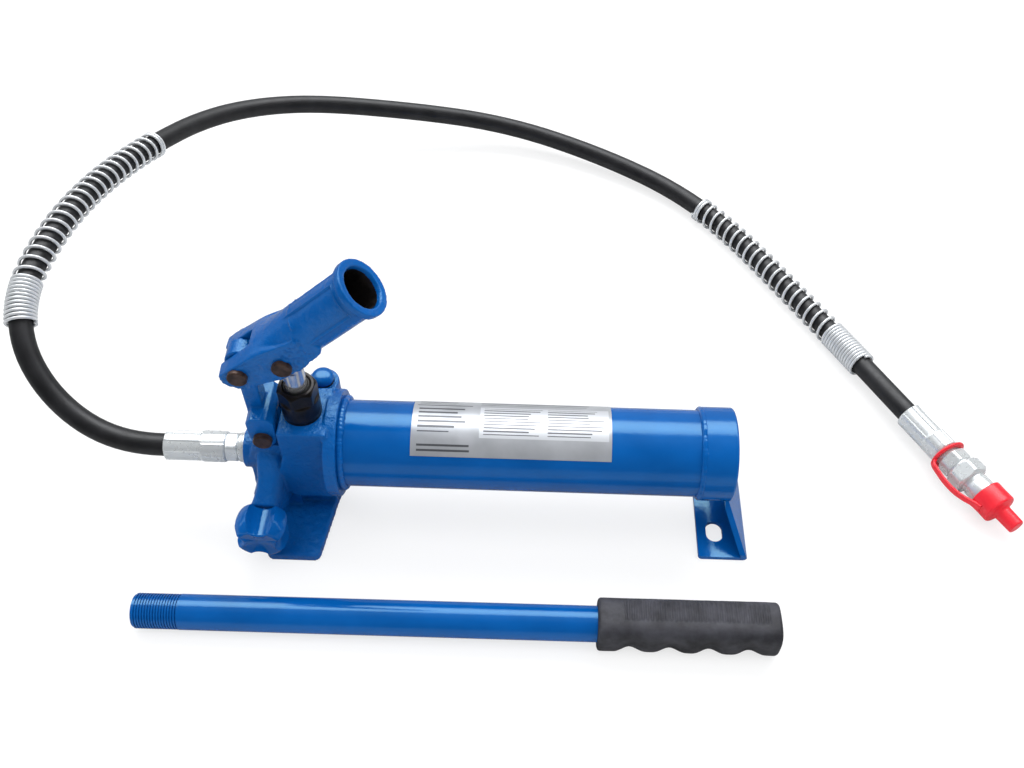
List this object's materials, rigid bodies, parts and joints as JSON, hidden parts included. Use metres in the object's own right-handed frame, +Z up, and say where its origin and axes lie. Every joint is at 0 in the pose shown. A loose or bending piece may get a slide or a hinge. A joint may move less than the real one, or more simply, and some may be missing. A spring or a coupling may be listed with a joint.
{
  "type": "hydraulic hand pump",
  "caption": "Single-stage hydraulic hand pump: cast head with linkage-driven plunger, tubular reservoir, release knob, guarded hose with capped coupler, and a loose gripped handle.",
  "frame": {"origin": "on the ground plane, directly under the plunger axis", "axes": "+X along the reservoir from the pump head to the end cap, +Z up along the plunger, +Y to the hose side behind the pump"},
  "size_m": [0.6072, 0.4561, 0.198],
  "materials": {
    "blue_paint": "gloss",
    "black_oxide": "satin",
    "chrome": "polished",
    "zinc": "bright zinc plate",
    "spring_steel": "zinc plated wire",
    "bearing_steel": "polished",
    "hose_rubber": "matte",
    "grip_rubber": "matte, worn",
    "seal_rubber": "smooth",
    "cap_plastic": "semi gloss",
    "label_foil": "satin foil",
    "copper": "soft copper",
    "filter_mesh": "fine mesh"
  },
  "bodies": {
    "pump": {"backup_ring": "seal_rubber", "cap_tether": "cap_plastic", "coupler_body": "zinc", "cylinder_washer": "copper", "data_plate": "label_foil", "discharge_spring": "spring_steel", "end_cap": "blue_paint", "hose": "hose_rubber", "hose_adapter": "zinc", "hose_ferrule_pump": "zinc", "hose_ferrule_tool": "zinc", "link_pin_lower": "black_oxide", "link_pin_lower_clip": "spring_steel", "plunger_seal": "seal_rubber", "poppet_spring": "spring_steel", "port_washer": "copper", "pump_cylinder": "black_oxide", "pump_head": "blue_paint", "rear_foot": "blue_paint", "relief_screw": "black_oxide", "relief_spring": "spring_steel", "reservoir_tube": "blue_paint", "spring_guard_pump": "spring_steel", "spring_guard_tool": "spring_steel", "suction_filter": "filter_mesh", "suction_seat": "zinc", "suction_spring": "spring_steel", "wiper_ring": "seal_rubber"},
    "plunger_body": {"plunger": "chrome"},
    "socket_body": {"handle_socket": "blue_paint", "link_pin_upper": "black_oxide", "plunger_pin": "black_oxide", "link_pin_upper_clip": "spring_steel", "plunger_pin_clip": "spring_steel"},
    "link_body": {"link": "blue_paint"},
    "release_seal": {"spindle_seal": "seal_rubber"},
    "release_screw": {"release_spindle": "zinc", "release_knob": "blue_paint"},
    "release_ball_body": {"release_ball": "bearing_steel"},
    "suction_ball_body": {"suction_ball": "bearing_steel"},
    "discharge_ball_body": {"discharge_ball": "bearing_steel"},
    "relief_ball_body": {"relief_ball": "bearing_steel"},
    "filler_gasket_body": {"filler_gasket": "seal_rubber"},
    "filler_plug_body": {"filler_plug": "blue_paint"},
    "poppet_body": {"coupler_poppet": "zinc"},
    "cap_body": {"dust_cap": "cap_plastic"},
    "handle": {"handle_tube": "blue_paint", "handle_grip": "grip_rubber"}
  },
  "joints": [
    {"name": "plunger_stroke", "type": "slide", "parent": "pump", "child": "plunger_body", "axis": [0, 0, 1], "range_m": [-0.0186, 0.0056]},
    {"name": "socket_pivot", "type": "hinge", "parent": "plunger_body", "child": "socket_body", "pos_m": [0, 0, 0.1396], "axis": [0, -1, 0], "range_deg": [-42, 12]},
    {"name": "link_swing", "type": "hinge", "parent": "pump", "child": "link_body", "pos_m": [-0.021, 0, 0.077], "axis": [0, -1, 0], "range_deg": [-3, 3]},
    {"name": "release_seal_travel", "type": "slide", "parent": "pump", "child": "release_seal", "axis": [0, -1, 0], "range_m": [0, 0.0015]},
    {"name": "release_turn", "type": "hinge", "parent": "release_seal", "child": "release_screw", "pos_m": [-0.025, -0.03, 0.028], "axis": [0, -1, 0], "range_deg": [0, 570]},
    {"name": "release_ball_lift", "type": "slide", "parent": "pump", "child": "release_ball_body", "axis": [0, -1, 0], "range_m": [0, 0.0012]},
    {"name": "suction_ball_lift", "type": "slide", "parent": "pump", "child": "suction_ball_body", "axis": [-1, 0, 0], "range_m": [0, 0.001]},
    {"name": "discharge_ball_lift", "type": "slide", "parent": "pump", "child": "discharge_ball_body", "axis": [-1, 0, 0], "range_m": [0, 0.0008]},
    {"name": "relief_ball_lift", "type": "slide", "parent": "pump", "child": "relief_ball_body", "axis": [0, 1, 0], "range_m": [0, 0.0005]},
    {"name": "filler_gasket_lift", "type": "slide", "parent": "pump", "child": "filler_gasket_body", "axis": [0, 0, 1], "range_m": [0, 0.003]},
    {"name": "filler_turn", "type": "hinge", "parent": "filler_gasket_body", "child": "filler_plug_body", "pos_m": [0.007, 0.0265, 0.086], "axis": [0, 0, 1], "range_deg": [0, 760]},
    {"name": "coupler_poppet_push", "type": "slide", "parent": "pump", "child": "poppet_body", "axis": [-0.4969, 0.8678, 0], "range_m": [0, 0.0025]},
    {"name": "dust_cap_pull", "type": "slide", "parent": "pump", "child": "cap_body", "axis": [0.4969, -0.8678, 0], "range_m": [0, 0.02]},
    {"name": "handle_lift", "type": "slide", "parent": "pump", "child": "handle", "axis": [0, 0, 1], "range_m": [0, 0.12]}
  ],
  "couplings": [
    {"joint": "plunger_stroke", "follows": "socket_pivot", "m_per_rad": 0.025},
    {"joint": "link_swing", "follows": "socket_pivot", "ratio": -0.04},
    {"joint": "release_turn", "follows": "release_seal_travel", "rad_per_m": 6283.2},
    {"joint": "release_ball_lift", "follows": "release_seal_travel", "ratio": 0.6283},
    {"joint": "filler_turn", "follows": "filler_gasket_lift", "rad_per_m": 4188.8}
  ]
}
